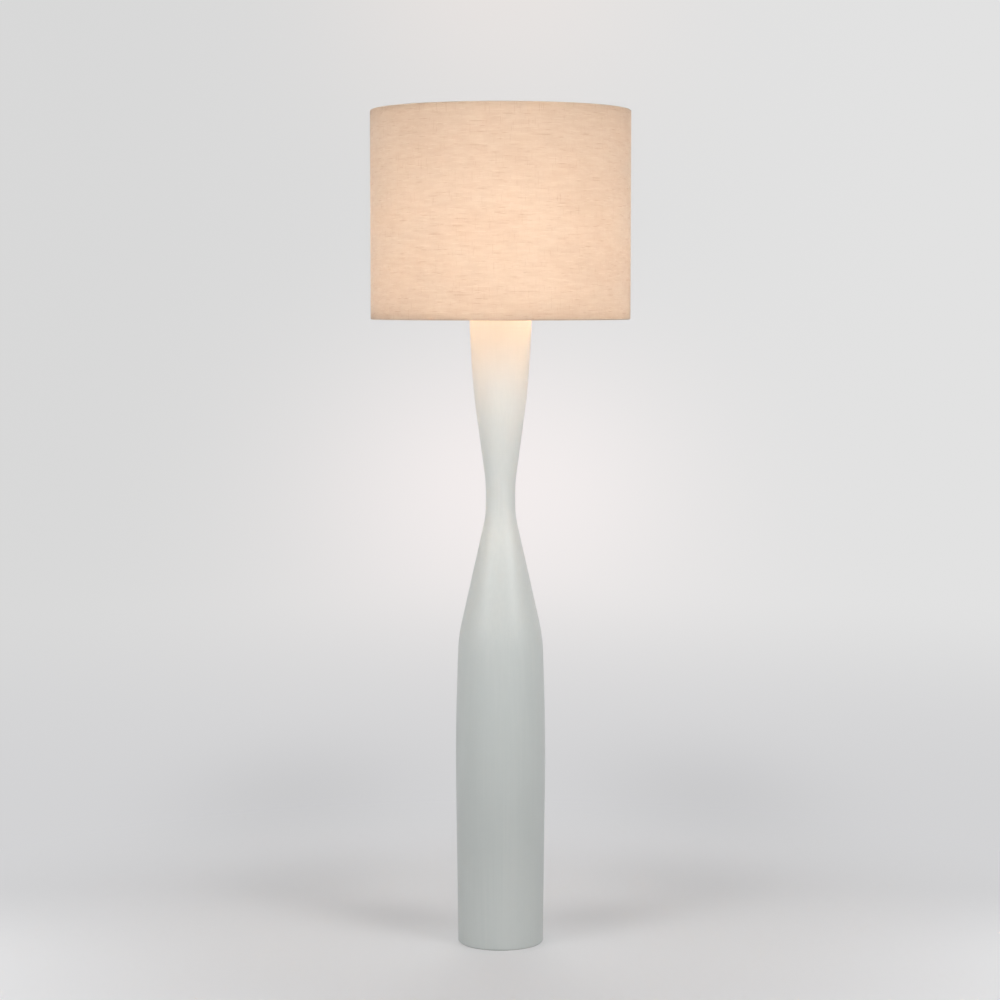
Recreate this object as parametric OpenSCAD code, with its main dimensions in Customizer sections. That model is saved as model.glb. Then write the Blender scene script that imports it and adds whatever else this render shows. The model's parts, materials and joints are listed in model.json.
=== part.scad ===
// A floor lamp: a tall hollow column with a waist, weighted at the foot, that carries
// a lampholder, a bulb and a straight drum shade. Millimetres, +Z up. The origin is on
// the floor, under the middle of the foot, and the cable outlet is at the back, at +Y.

/* [Column] */
// Width of the column where it meets the foot pad
foot_d = 164; // [140:1:200]
// Width of the outline's corner at the belly, before it is eased
belly_d = 174.5; // [150:0.5:210]
// Width at the shoulder corner, where the column turns in
shoulder_d = 162; // [140:1:200]
// Width of the waist
waist_d = 56.4; // [44:0.2:90]
// Width at the neck corner, where the flare stands up
neck_d = 106; // [92:1:130]
// Width of the mouth, inside the shade
mouth_d = 120; // [108:1:150]
// Height from the foot to the belly
foot_run = 398; // [300:1:500]
// Height from the belly to the shoulder
belly_run = 196; // [140:1:260]
// Height from the shoulder to the start of the waist
shoulder_run = 235; // [180:1:300]
// Height of the straight waist
waist_run = 63; // [45:1:100]
// Height from the waist to the neck corner
neck_run = 182; // [140:1:240]
// Height from the neck corner to the mouth
mouth_run = 136; // [90:1:180]
// Radius that eases the belly
belly_bend = 5000; // [2000:100:7000]
// Radius that eases the shoulder
shoulder_bend = 320; // [100:10:600]
// Radius that eases the lower end of the waist
waist_low_bend = 160; // [60:5:260]
// Radius that eases the upper end of the waist
waist_high_bend = 260; // [100:5:400]
// Radius that eases the neck
neck_bend = 1200; // [500:50:2000]
// Radius of the foot's outer edge
foot_edge = 1.5; // [0.5:0.1:2.5]
// Radius of the mouth's outer edge
mouth_edge = 2; // [0.5:0.1:2.5]
// Thickness of the column's wall
wall = 4; // [3:0.1:6]
// How far the two inner ledges stand in from the wall
ledge_w = 8; // [5:0.5:12]
// Thickness of the inner ledges
ledge_t = 6; // [4:0.5:10]

/* [Base] */
// Thickness of the foot pad
pad_t = 2; // [1:0.5:4]
// How far the pad's edge is inside the foot's edge
pad_inset = 2.5; // [1.6:0.1:3.5]
// Height of the cast weight
weight_h = 38; // [34:1:60]
// Gap between the weight and the wall around it
weight_gap = 0.5; // [0.3:0.1:0.9]
// Gap between the pocket and the washer in it
pocket_gap = 5; // [2:0.5:8]
// Gap between the cable channel and the grommet's flange
channel_gap = 1; // [0.5:0.1:2]
// Step between the top of the cable channel and the washer over it
seat_step = 2; // [1:0.5:4]

/* [Cable outlet] */
// Bore of the grommet, for the mains lead
outlet_bore = 7.4; // [6:0.1:8]
// Width of the notch in the column's wall, which is open at the foot
notch_w = 11; // [10:0.5:12]
// Width of the grommet's two flanges
outlet_flange = 15; // [14:0.5:16]
// Thickness of the grommet's flanges
outlet_flange_t = 1.8; // [1:0.1:2.5]
// Height of the outlet's axis over the foot
outlet_rise = 10; // [8:0.5:11]
// Radius of the notch's and the grommet's top corners
notch_edge = 2; // [1:0.5:4]

/* [Centre tube] */
// Outside of the threaded centre tube
tube_d = 10; // [8:0.5:12]
// Wall of the centre tube
tube_wall = 1.2; // [0.8:0.1:1.6]
// Length of tube that shows under the lower nut
tube_tail = 2; // [1:0.5:4]
// Gap between the tube and the plain holes it passes
tube_gap = 0.3; // [0.2:0.05:0.6]
// Gap between two threads that are screwed together
thread_gap = 0.05; // [0.02:0.01:0.1]
// How much wider a nut is than the tube, across its flats
nut_extra = 7; // [5:0.5:9]
// Height of the nuts
nut_h = 5; // [4:0.5:8]
// How much wider a washer is than its nut
washer_extra = 11; // [6:1:16]
// Thickness of the washers
washer_t = 1.5; // [1:0.5:3]

/* [Mouth plate] */
// Thickness of the plate that closes the mouth
plate_t = 5; // [3:0.5:8]
// Gap between the plate and the wall around it
plate_gap = 0.4; // [0.2:0.1:0.8]
// Radius of the plate's top edge
plate_edge = 1; // [0.5:0.1:2]

/* [Lampholder] */
// Height from the holder's foot to the top of its flange
holder_flange_rise = 28; // [26:0.5:34]
// Height from the top of the flange to the rim
holder_thread_h = 32; // [29:0.5:40]
// Outside of the long thread for the shade ring
holder_d = 39.4; // [38:0.2:42]
// How far the flange stands out from the thread
flange_w = 3.6; // [2.5:0.1:5]
// Thickness of the flange
flange_t = 2.5; // [2:0.1:3.5]
// Depth of the long thread
holder_groove = 0.8; // [0.5:0.1:1]
// Pitch of the long thread
holder_pitch = 2.5; // [2:0.1:3.5]
// Step in from the long thread to the holder's lower cap, and out to the skirt over it
cap_step = 0.8; // [0.6:0.1:1.2]
// Wall of the holder's lower cap
holder_wall = 2; // [1.5:0.1:2.5]
// Wall of the cap's neck around the tube
neck_wall = 4; // [3.2:0.1:5]
// Height of the cap's neck
neck_h = 8; // [7:0.5:9]
// Overlap of the holder's body over its cap
holder_lap = 8; // [5:0.5:9]
// Thickness of the insert that carries the contacts
insert_t = 6; // [4:0.5:7]
// Width of the terminal block under the insert
block_w = 24; // [23:0.5:26]
// Depth of the terminal block, front to back
block_depth = 11; // [9:0.5:14]
// Gap between the terminal block and the cap's floor
block_gap = 4; // [3:0.5:5]
// Width of the lock screw in the neck
lock_d = 4; // [3:0.5:5]
// Width of the two terminal screws
terminal_d = 3; // [2.5:0.1:3.5]
// Thickness of the brass contact strips
contact_t = 0.5; // [0.4:0.1:0.8]
// Width of the brass contact strips
contact_w = 5; // [4:0.5:6]
// Height of the side strip
side_strip_h = 16; // [12:0.5:18]
// Gap between a contact strip and the bulb
contact_gap = 0.3; // [0.2:0.05:0.4]

/* [Shade ring] */
// Gap between the ring and the crests of the holder's thread
ring_gap = 0.3; // [0.2:0.05:0.5]
// Wall of the shade ring
ring_wall = 8; // [6:0.5:9]
// Height of the shade ring
ring_h = 9; // [6:0.5:12]
// Finger flutes around the shade ring
flutes = 30; // [16:1:40]
// Width of a flute
flute_d = 2.4; // [1.6:0.1:3]

/* [Shade] */
// Outside width of the drum shade
shade_d = 495; // [350:1:600]
// Height of the drum shade
shade_h = 395; // [250:1:500]
// Thickness of the linen cover
linen_t = 0.7; // [0.5:0.1:1.2]
// Thickness of the stiff liner behind the linen
liner_t = 0.4; // [0.3:0.1:0.8]
// Glue line between the linen and the liner
glue_gap = 0.05; // [0.03:0.01:0.1]
// Gap between the liner's edge and the wire beyond it
liner_gap = 0.3; // [0.2:0.1:0.8]
// Width of the wire of the two rings
wire_d = 3.5; // [3:0.1:5]
// Width of the arms' rod
arm_d = 3; // [2.4:0.1:3]
// Gap between the wire and the hem rolled around it
hem_gap = 0.1; // [0.05:0.05:0.2]
// How far a hem reaches along the liner, past the middle of its wire
hem_w = 10; // [7:0.5:16]
// Height of the fitter ring over the shade's lower edge
fitter_rise = 41.5; // [30:0.5:70]
// Thickness of the fitter ring
fitter_t = 2; // [1.5:0.1:3]
// Gap between the fitter ring and the holder's thread
fitter_gap = 1.3; // [0.8:0.1:1.8]
// How far the fitter ring stands out past the shade ring
fitter_lip = 4; // [3:0.5:6]
// Arms of the fitter
arms = 3; // [3:1:4]
// Slit in the hem at each side of an arm
slit_gap = 1; // [0.5:0.1:2]

/* [Bulb] */
// Widest part of the bulb
bulb_d = 60; // [56:1:66]
// Length of the screw cap, from its tip to the housing
cap_len = 27; // [26:0.5:29]
// Outside of the cap's thread
cap_d = 26.3; // [26:0.1:26.8]
// Depth of the cap's thread
cap_groove = 1; // [0.6:0.1:1.2]
// Pitch of the cap's thread
cap_pitch = 3.6; // [3.2:0.1:4]
// Wall of the cap
cap_wall = 0.6; // [0.4:0.1:0.8]
// Gap between the cap's crests and the socket around them
socket_gap = 0.35; // [0.3:0.05:0.5]
// How much of the cap shows over the holder's rim
cap_show = 2.5; // [1:0.5:4]
// Height of the black insulator over the cap's tip
insulator_h = 6; // [5:0.5:7]
// Radius of the contact at the cap's tip
contact_r = 4.8; // [4:0.1:6]
// Thickness of the contact at the cap's tip
contact_h = 1.6; // [1:0.1:2]
// Height of the bulb's housing
housing_h = 38; // [34:1:44]
// Wall of the housing
housing_wall = 1.6; // [1.2:0.1:2]
// How deep the housing's spigot sits in the cap
spigot_h = 3.6; // [2.5:0.1:3.8]
// Wall of the globe
globe_wall = 1.2; // [1:0.1:2]
// Thickness of the board that carries the light chips
board_t = 1.6; // [1:0.1:2]
// Light chips on the board
chips = 12; // [6:1:16]
// Side of a light chip
chip_w = 3; // [2:0.5:4]
// Thickness of a light chip
chip_t = 0.8; // [0.5:0.1:1.2]
// Width of the driver board
driver_w = 16; // [12:1:18]

/* [Hidden] */
$fn = 96;
bend_steps = 10;    // straight pieces in a corner of the column's side
edge_steps = 4;     // straight pieces in a small eased edge
arc_share = 0.49;   // the most of a straight run that one arc may take up
hem_steps = 16;     // straight pieces of the hem around its wire
hem_wrap = 215;     // degrees that the hem goes round its wire
globe_steps = 24;   // straight pieces of the globe's outline
eps = 0.01;         // runs a cut past the face it opens

// Levels of the column
foot_z = pad_t;
belly_z = foot_z + foot_run;
shoulder_z = belly_z + belly_run;
waist_low_z = shoulder_z + shoulder_run;
waist_high_z = waist_low_z + waist_run;
neck_z = waist_high_z + neck_run;
mouth_z = neck_z + mouth_run;
low_ledge_z = foot_z + weight_h;
plate_z = mouth_z - plate_t;
foot_inner_r = foot_d / 2 - wall;
mouth_inner_r = mouth_d / 2 - wall;
foot_lean = (belly_d - foot_d) / 2 / foot_run;
mouth_lean = (mouth_d - neck_d) / 2 / mouth_run;
low_ledge_r = foot_inner_r + foot_lean * weight_h;
high_ledge_r = mouth_inner_r - mouth_lean * plate_t;

// Levels of the base and of the centre tube
nut_af = tube_d + nut_extra;
washer_d = nut_af + washer_extra;
pocket_d = washer_d + 2 * pocket_gap;
outlet_z = foot_z + outlet_rise;
channel_w = outlet_flange + 2 * channel_gap;
channel_h = outlet_rise + outlet_flange / 2 + channel_gap;
pocket_h = channel_h + seat_step + washer_t;
low_washer_z = foot_z + pocket_h - washer_t;
low_nut_z = low_washer_z - nut_h;
tube_low_z = low_nut_z - tube_tail;
top_nut_z = mouth_z + washer_t;
holder_z = top_nut_z + nut_h;
tube_high_z = holder_z + neck_h;
tube_hole_r = tube_d / 2 + tube_gap;
tube_thread_r = tube_d / 2 + thread_gap;

// Levels and widths of the lampholder
flange_z = holder_z + holder_flange_rise;
rim_z = flange_z + holder_thread_h;
insert_z = flange_z - insert_t;
cap_floor_z = tube_high_z + holder_wall;
block_h = insert_z - cap_floor_z - block_gap;
holder_r = holder_d / 2;
root_r = holder_r - holder_groove;
flange_r = holder_r + flange_w;
cap_outer_r = holder_r - cap_step;
holder_neck_r = tube_d / 2 + neck_wall;
socket_r = cap_d / 2 + socket_gap;
lock_z = holder_z + neck_h / 2;
side_strip_r = cap_d / 2 + contact_gap;

// Levels and widths of the shade and what holds it
ring_r = holder_r + ring_gap + ring_wall;
fitter_z = flange_z;
fitter_r = ring_r + fitter_lip;
fitter_bore_r = holder_r + fitter_gap;
ring_z = fitter_z + fitter_t + ring_gap;
shade_z = fitter_z - fitter_rise;
shade_top_z = shade_z + shade_h;
wire_r = wire_d / 2;
hem_r = wire_r + hem_gap + linen_t;      // outside of the hem around its wire
wire_ring_r = shade_d / 2 - hem_r;
low_wire_z = shade_z + hem_r;
high_wire_z = shade_top_z - hem_r;
liner_r = shade_d / 2 - linen_t - glue_gap;
liner_edge = hem_r + wire_r + liner_gap;

// Levels and widths of the bulb
tip_z = rim_z - cap_len + cap_show;
insulator_z = tip_z + insulator_h;
housing_z = tip_z + cap_len;
housing_top_z = housing_z + housing_h;
globe_r = bulb_d / 2;
globe_drop = globe_r * 0.4;              // from the globe's middle down to the housing
globe_z = housing_top_z + globe_drop;
globe_low_r = sqrt(pow(globe_r, 2) - pow(globe_drop, 2));
rim_depth = 3;                           // from the housing's rim down to the board
board_z = housing_top_z - rim_depth;
board_r = globe_low_r - globe_wall - 0.3;

function unit(v) = v / norm(v);

function backwards(list) = [for (i = [len(list) - 1:-1:0]) list[i]];

// An arc that eases the corner b between a and c. It shrinks where a run is short.
function bend(a, b, c, radius) =
    let (to_a = unit(a - b), to_c = unit(c - b),
         half = acos(max(-1, to_a * to_c)) / 2)
    half > 89.99 ? [b] :
    let (reach = min(radius / tan(half), arc_share * norm(a - b), arc_share * norm(c - b)),
         r = reach * tan(half),
         centre = b + unit(to_a + to_c) * r / sin(half),
         first = b + to_a * reach - centre,
         last = b + to_c * reach - centre,
         start = atan2(first.y, first.x),
         turn = (atan2(last.y, last.x) - start + 540) % 360 - 180,
         steps = radius > 2 * wall ? bend_steps : edge_steps)
    [for (i = [0:steps]) let (at = start + turn * i / steps) centre + r * [cos(at), sin(at)]];

// A closed outline whose corners are eased, each by its own radius: [[r, z, radius], ...]
function eased(corners) =
    let (n = len(corners), flat = [for (c = corners) [c.x, c.y]])
    [for (i = [0:n - 1]) each corners[i].z == 0 ? [flat[i]]
        : bend(flat[(i + n - 1) % n], flat[i], flat[(i + 1) % n], corners[i].z)];

// The column's side, moved in by inset, from the belly to the neck corner
function side(inset) = [
    [belly_d / 2 - inset, belly_z, belly_bend],
    [shoulder_d / 2 - inset, shoulder_z, shoulder_bend],
    [waist_d / 2 - inset, waist_low_z, waist_low_bend],
    [waist_d / 2 - inset, waist_high_z, waist_high_bend],
    [neck_d / 2 - inset, neck_z, neck_bend]];

function shell_outline() = eased(concat(
    [[foot_inner_r, foot_z, 0], [foot_d / 2, foot_z, foot_edge]],
    side(0),
    [[mouth_d / 2, mouth_z, mouth_edge], [mouth_inner_r, mouth_z, 0]],
    backwards(side(wall))));

// A band of cloth of the given thickness along a path
function band(path, thick) =
    let (last = len(path) - 1,
         out = [for (i = [0:last])
            let (d = unit(path[min(i + 1, last)] - path[max(i - 1, 0)]))
            [-d.y, d.x] * thick / 2])
    concat([for (i = [0:last]) path[i] + out[i]], [for (i = [last:-1:0]) path[i] - out[i]]);

// The middle of the cloth around one wire, from the outer wall to the end of the hem.
// up is 1 for the lower hem and -1 for the upper one.
function hem(wire_z, up) =
    let (mid = wire_r + hem_gap + linen_t / 2,
         end_r = liner_r - liner_t - hem_gap - linen_t / 2)
    concat([for (i = [0:hem_steps]) let (at = hem_wrap * i / hem_steps)
                [wire_ring_r + mid * cos(at), wire_z - up * mid * sin(at)]],
           [[end_r, wire_z + up * hem_w]]);

// The rings of a thread as points of an outline. Each turn is a quarter at radius a,
// a quarter at radius b and a slope between them.
function thread(low_z, high_z, pitch, a, b) =
    [for (i = [0:floor((high_z - low_z) / pitch) - 1]) each
        [for (q = [0:3]) [q < 2 ? a : b, low_z + (i + q / 4) * pitch]]];

module at_z(z) { translate([0, 0, z]) children(); }

module ring(outer_r, inner_r, height) {
    difference() {
        cylinder(r = outer_r, h = height);
        at_z(-eps) cylinder(r = inner_r, h = height + 2 * eps);
    }
}

module around(count, first = 0) {
    for (i = [0:count - 1]) rotate([0, 0, first + 360 * i / count]) children();
}

// A door-shaped block at the back of the foot, from back_y inwards. It goes as far over
// the outlet's axis as it goes to each side.
module notch(width, back_y, depth) {
    height = outlet_rise + width / 2;
    translate([0, back_y, foot_z]) rotate([90, 0, 0]) linear_extrude(depth) polygon(eased([
        [-width / 2, 0, 0], [width / 2, 0, 0],
        [width / 2, height, notch_edge], [-width / 2, height, notch_edge]]));
}

module foot_pad() {
    color("lightgray") cylinder(r = foot_d / 2 - pad_inset, h = pad_t);
}

module base_weight() {
    color("slategray") difference() {
        at_z(foot_z) cylinder(r = foot_inner_r - weight_gap, h = weight_h);
        at_z(foot_z - eps) cylinder(d = pocket_d, h = pocket_h + eps);
        at_z(foot_z - eps) cylinder(r = tube_hole_r, h = weight_h + 2 * eps);
        translate([-channel_w / 2, 0, foot_z - eps]) cube([channel_w, foot_d / 2, channel_h + eps]);
    }
}

module washer() { ring(washer_d / 2, tube_hole_r, washer_t); }

module nut() {
    difference() {
        cylinder(d = nut_af / cos(30), h = nut_h, $fn = 6);
        at_z(-eps) cylinder(r = tube_thread_r, h = nut_h + 2 * eps);
    }
}

module bottom_washer() { color("silver") at_z(low_washer_z) washer(); }

module bottom_nut() { color("silver") at_z(low_nut_z) nut(); }

module centre_tube() {
    color("silver") at_z(tube_low_z)
        ring(tube_d / 2, tube_d / 2 - tube_wall, tube_high_z - tube_low_z);
}

module shell_solid() {
    difference() {
        rotate_extrude() union() {
            polygon(shell_outline());
            translate([low_ledge_r - ledge_w, low_ledge_z]) square([ledge_w + wall / 2, ledge_t]);
            translate([high_ledge_r - ledge_w, plate_z - ledge_t])
                square([ledge_w + wall / 2, ledge_t]);
        }
        at_z(-eps) notch(notch_w, foot_d / 2 + wall, 3 * wall);
    }
}

module column_shell() { color("whitesmoke") shell_solid(); }

// Slides up into the notch and is held by the pad. It is cut to the curved wall that it grips.
module cable_grommet() {
    inner_y = foot_inner_r;
    outer_y = inner_y + wall;
    grip = 0.3;
    color("gainsboro") difference() {
        union() {
            notch(notch_w - 2 * thread_gap, outer_y + outlet_flange_t, wall + 2 * outlet_flange_t);
            notch(outlet_flange, inner_y, outlet_flange_t);
            notch(outlet_flange, outer_y + outlet_flange_t, outlet_flange_t + grip);
        }
        translate([0, inner_y - 2 * wall, outlet_z])
            rotate([-90, 0, 0]) cylinder(d = outlet_bore, h = 4 * wall);
        shell_solid();
    }
}

module mouth_plate() {
    plate_r = high_ledge_r - plate_gap;
    color("whitesmoke") rotate_extrude() polygon(eased([
        [tube_hole_r, plate_z, 0], [plate_r, plate_z, 0],
        [plate_r, mouth_z, plate_edge], [tube_hole_r, mouth_z, 0]]));
}

module top_washer() { color("silver") at_z(mouth_z) washer(); }

module top_nut() { color("silver") at_z(top_nut_z) nut(); }

module holder_cap() {
    dome_h = 5;
    inner_r = cap_outer_r - holder_wall;
    color("white") difference() {
        rotate_extrude() polygon(eased([
            [tube_thread_r, holder_z, 0], [holder_neck_r, holder_z, 0.8],
            [holder_neck_r, tube_high_z, 1.5], [cap_outer_r, tube_high_z + dome_h, 4],
            [cap_outer_r, insert_z, 0], [inner_r, insert_z, 0],
            [inner_r, cap_floor_z + dome_h, 3],
            [holder_neck_r, cap_floor_z, 0], [tube_thread_r, cap_floor_z, 0]]));
        at_z(lock_z) rotate([0, 90, 0]) cylinder(d = lock_d, h = 2 * holder_neck_r);
    }
}

module lock_screw() {
    proud = 0.5;
    slot = 0.8;
    color("silver") difference() {
        translate([tube_thread_r, 0, lock_z])
            rotate([0, 90, 0]) cylinder(d = lock_d - 2 * thread_gap, h = neck_wall + proud);
        translate([holder_neck_r - proud, -lock_d, lock_z - slot / 2]) cube([2, 2 * lock_d, slot]);
    }
}

module holder_insert() {
    bore_x = block_w / 4;
    wire_hole = 2.4;
    color("ivory") difference() {
        union() {
            at_z(insert_z) cylinder(r = cap_outer_r, h = insert_t);
            translate([-block_w / 2, -block_depth / 2, insert_z - block_h])
                cube([block_w, block_depth, block_h + 1]);
        }
        around(2) {
            translate([bore_x, 0, insert_z - block_h / 2])
                rotate([0, 90, 0]) cylinder(d = terminal_d, h = block_w);
            translate([bore_x + wire_hole, 0, insert_z - block_h - eps])
                cylinder(d = wire_hole, h = block_h / 2);
        }
    }
}

module terminal_screws() {
    shank = block_w / 8;
    head_d = terminal_d * 1.6;
    head_h = 1.4;
    slot = 0.6;
    color("goldenrod") around(2)
        translate([block_w / 2 - shank, 0, insert_z - block_h / 2]) rotate([0, 90, 0])
            difference() {
                union() {
                    cylinder(d = terminal_d - 2 * thread_gap, h = shank);
                    at_z(shank) cylinder(d = head_d, h = head_h);
                }
                translate([-slot / 2, -head_d, shank + head_h / 2]) cube([slot, 2 * head_d, head_h]);
            }
}

// A springy tongue that rises from the insert to the tip of the bulb
module centre_contact() {
    top = tip_z - contact_gap;
    color("gold") rotate([90, 0, 0]) translate([0, 0, -contact_w / 2])
        linear_extrude(contact_w) polygon([
            [9, flange_z], [9, flange_z + contact_t], [3 + contact_t, flange_z + contact_t],
            [1.5, top - contact_t], [1.5, top], [-4, top], [-4, top - contact_t],
            [1, top - contact_t], [3, flange_z]]);
}

// A strip in a slot of the socket, which touches the side of the bulb's cap
module side_contact() {
    foot = 3;
    color("gold") translate([-side_strip_r - contact_t, -contact_w / 2, flange_z]) {
        cube([contact_t, contact_w, side_strip_h]);
        cube([contact_t + foot, contact_w, contact_t]);
    }
}

module holder_body() {
    thread_top_z = rim_z - 2;
    socket_top_z = rim_z - 1;
    bevel = 0.5;
    slot_depth = 2;
    slot_gap = 0.5;
    color("white") difference() {
        rotate_extrude() polygon(concat(
            [[cap_outer_r + thread_gap, insert_z - holder_lap],
             [holder_r + cap_step, insert_z - holder_lap],
             [holder_r + cap_step, flange_z - flange_t], [flange_r, flange_z - flange_t],
             [flange_r, flange_z]],
            thread(flange_z, thread_top_z, holder_pitch, root_r, holder_r),
            [[root_r, thread_top_z], [root_r, rim_z - bevel], [root_r - bevel, rim_z],
             [socket_r + cap_groove, rim_z]],
            backwards(thread(insulator_z, socket_top_z, cap_pitch, socket_r,
                socket_r + cap_groove)),
            [[socket_r, flange_z], [cap_outer_r + thread_gap, flange_z]]));
        translate([-socket_r - slot_depth, -contact_w / 2 - slot_gap, flange_z - eps])
            cube([2 * slot_depth, contact_w + 2 * slot_gap, side_strip_h + 2 * slot_gap]);
    }
}

module shade_ring() {
    bore_edge = 0.5;
    color("white") difference() {
        at_z(ring_z) rotate_extrude() polygon(eased([
            [holder_r + ring_gap, 0, bore_edge], [ring_r, 0, 0.8],
            [ring_r, ring_h, 1.2], [holder_r + ring_gap, ring_h, bore_edge]]));
        around(flutes) translate([ring_r + flute_d / 5, 0, ring_z - eps])
            cylinder(d = flute_d, h = ring_h + 2 * eps, $fn = 24);
    }
}

module wire_torus(z) {
    at_z(z) rotate_extrude() translate([wire_ring_r, 0]) circle(r = wire_r, $fn = 24);
}

// Rods from the fitter ring, outside the shade ring, down to the lower wire
module arm_rods() {
    start = [(ring_r + fitter_r) / 2 - 0.5, fitter_z + fitter_t / 2];
    run = [wire_ring_r, low_wire_z] - start;
    around(arms, 90) translate([start.x, 0, start.y])
        rotate([0, 90 - atan2(run.y, run.x), 0]) cylinder(d = arm_d, h = norm(run));
}

module shade_spider() {
    color("gainsboro") {
        at_z(fitter_z) ring(fitter_r, fitter_bore_r, fitter_t);
        arm_rods();
        wire_torus(low_wire_z);
    }
}

module top_wire() { color("gainsboro") wire_torus(high_wire_z); }

module shade_liner() {
    color("ivory") at_z(shade_z + liner_edge)
        ring(liner_r, liner_r - liner_t, shade_h - 2 * liner_edge);
}

// One cloth, rolled around both wires and slit where the arms pass the lower hem
module shade_cover() {
    path = concat(backwards(hem(low_wire_z, 1)), hem(high_wire_z, -1));
    color("wheat") difference() {
        rotate_extrude($fn = 180) polygon(band(path, linen_t));
        around(arms, 90)
            translate([wire_ring_r - 2 * hem_r, -arm_d / 2 - slit_gap, low_wire_z - wire_r + 0.2])
                cube([2 * hem_r, arm_d + 2 * slit_gap, hem_w + hem_r]);
    }
}

module bulb_contact() {
    color("silver") at_z(tip_z) cylinder(r1 = 0.75 * contact_r, r2 = contact_r, h = contact_h);
}

module bulb_insulator() {
    r = cap_d / 2 - cap_groove - cap_wall - 0.1;
    top_z = insulator_z + 2;
    color("black") rotate_extrude() polygon([
        [0, tip_z + contact_h], [contact_r + 0.8, tip_z + contact_h],
        [r, insulator_z], [r, top_z], [0, top_z]]);
}

module bulb_cap() {
    crest = cap_d / 2;
    root = crest - cap_groove;
    collar_h = spigot_h + 0.4;
    outside = concat(
        thread(insulator_z, housing_z - collar_h - 1, cap_pitch, root, crest),
        [[root, housing_z - collar_h - 0.8], [crest, housing_z - collar_h], [crest, housing_z]]);
    color("silver") rotate_extrude() polygon(concat(
        outside, backwards([for (p = outside) [p.x - cap_wall, p.y]])));
}

module bulb_housing() {
    spigot_r = cap_d / 2 - cap_wall - thread_gap;
    spigot_in = spigot_r - housing_wall;
    shoulder_r = cap_d / 2 + 0.8;
    throat = [cap_d / 2 + 1.5, 8];
    belt_r = globe_low_r + 0.8;
    seat_r = globe_low_r + 0.2;
    ledge_r = board_r - 3;
    color("white") at_z(housing_z) rotate_extrude() polygon(eased([
        [spigot_in, -spigot_h, 0], [spigot_r, -spigot_h, 0.3],
        [spigot_r, 0.3, 0], [shoulder_r, 0.3, 0.6],
        [throat.x, throat.y, 12], [belt_r, housing_h - 5, 10],
        [belt_r, housing_h, 0.5], [seat_r, housing_h, 0],
        [seat_r, housing_h - rim_depth, 0], [ledge_r, housing_h - rim_depth, 0],
        [ledge_r, housing_h - 2 * rim_depth, 0],
        [throat.x - housing_wall, throat.y + 2, 8], [spigot_in, 0, 2]]));
}

// A board that hangs from the chips' board, with a block and a round capacitor on it
module bulb_driver() {
    thick = 1.2;
    height = board_z - housing_z + 3;
    can_d = 8;
    can_h = 13;
    block = [10, 7, 9];
    color("seagreen") {
        translate([-driver_w / 2, -thick / 2, board_z - height]) cube([driver_w, thick, height]);
        translate([1 - driver_w / 2, thick / 2 - eps, board_z - 15]) cube(block);
        translate([1, -(can_d + thick) / 2 + eps, board_z - 27]) cylinder(d = can_d, h = can_h);
    }
}

module led_board() { color("gainsboro") at_z(board_z) cylinder(r = board_r, h = board_t); }

module led_chips() {
    circle_r = board_r * 0.72;      // between the board's middle and its edge
    color("khaki") around(chips)
        translate([circle_r - chip_w / 2, -chip_w / 2, board_z + board_t])
            cube([chip_w, chip_w, chip_t]);
}

module bulb_globe() {
    low = 90 + asin(globe_drop / globe_r);
    function arc(r) = [for (i = [0:globe_steps]) let (at = low * i / globe_steps)
        r * [sin(at), cos(at)]];
    color("white") at_z(globe_z) rotate_extrude()
        polygon(concat(backwards(arc(globe_r)), arc(globe_r - globe_wall)));
}

foot_pad();
base_weight();
bottom_washer();
bottom_nut();
centre_tube();
column_shell();
cable_grommet();
mouth_plate();
top_washer();
top_nut();
holder_cap();
lock_screw();
holder_insert();
terminal_screws();
centre_contact();
side_contact();
holder_body();
shade_ring();
shade_spider();
top_wire();
shade_liner();
shade_cover();
bulb_contact();
bulb_insulator();
bulb_cap();
bulb_housing();
bulb_driver();
led_board();
led_chips();
bulb_globe();
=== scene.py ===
import json
import math
import bpy
import numpy as np
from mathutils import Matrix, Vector
from mathutils.bvhtree import BVHTree


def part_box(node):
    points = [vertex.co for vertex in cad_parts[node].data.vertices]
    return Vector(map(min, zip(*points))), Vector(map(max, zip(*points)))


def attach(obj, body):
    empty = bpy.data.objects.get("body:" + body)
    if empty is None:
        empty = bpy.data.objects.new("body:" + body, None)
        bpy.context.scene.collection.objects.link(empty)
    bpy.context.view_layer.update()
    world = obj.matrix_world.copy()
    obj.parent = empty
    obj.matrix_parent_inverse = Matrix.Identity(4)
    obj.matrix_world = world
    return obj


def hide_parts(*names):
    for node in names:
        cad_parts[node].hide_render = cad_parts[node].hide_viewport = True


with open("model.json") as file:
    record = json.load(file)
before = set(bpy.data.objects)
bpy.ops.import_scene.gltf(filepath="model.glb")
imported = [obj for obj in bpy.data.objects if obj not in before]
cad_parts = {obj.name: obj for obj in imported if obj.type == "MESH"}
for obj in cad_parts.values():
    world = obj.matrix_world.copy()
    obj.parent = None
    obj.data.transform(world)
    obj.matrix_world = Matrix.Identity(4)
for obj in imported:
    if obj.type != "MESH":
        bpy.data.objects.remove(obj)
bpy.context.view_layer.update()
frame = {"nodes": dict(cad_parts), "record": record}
MM = 0.001
FULL_TURN = 2 * math.pi

# ---------------------------------------------------------------- sizes, from the frame

NODES = frame["nodes"]


def size_of(node):
    """A round node's reach: its outer radius, lowest level and highest level."""
    low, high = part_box(node)
    return high.x, low.z, high.z


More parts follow.
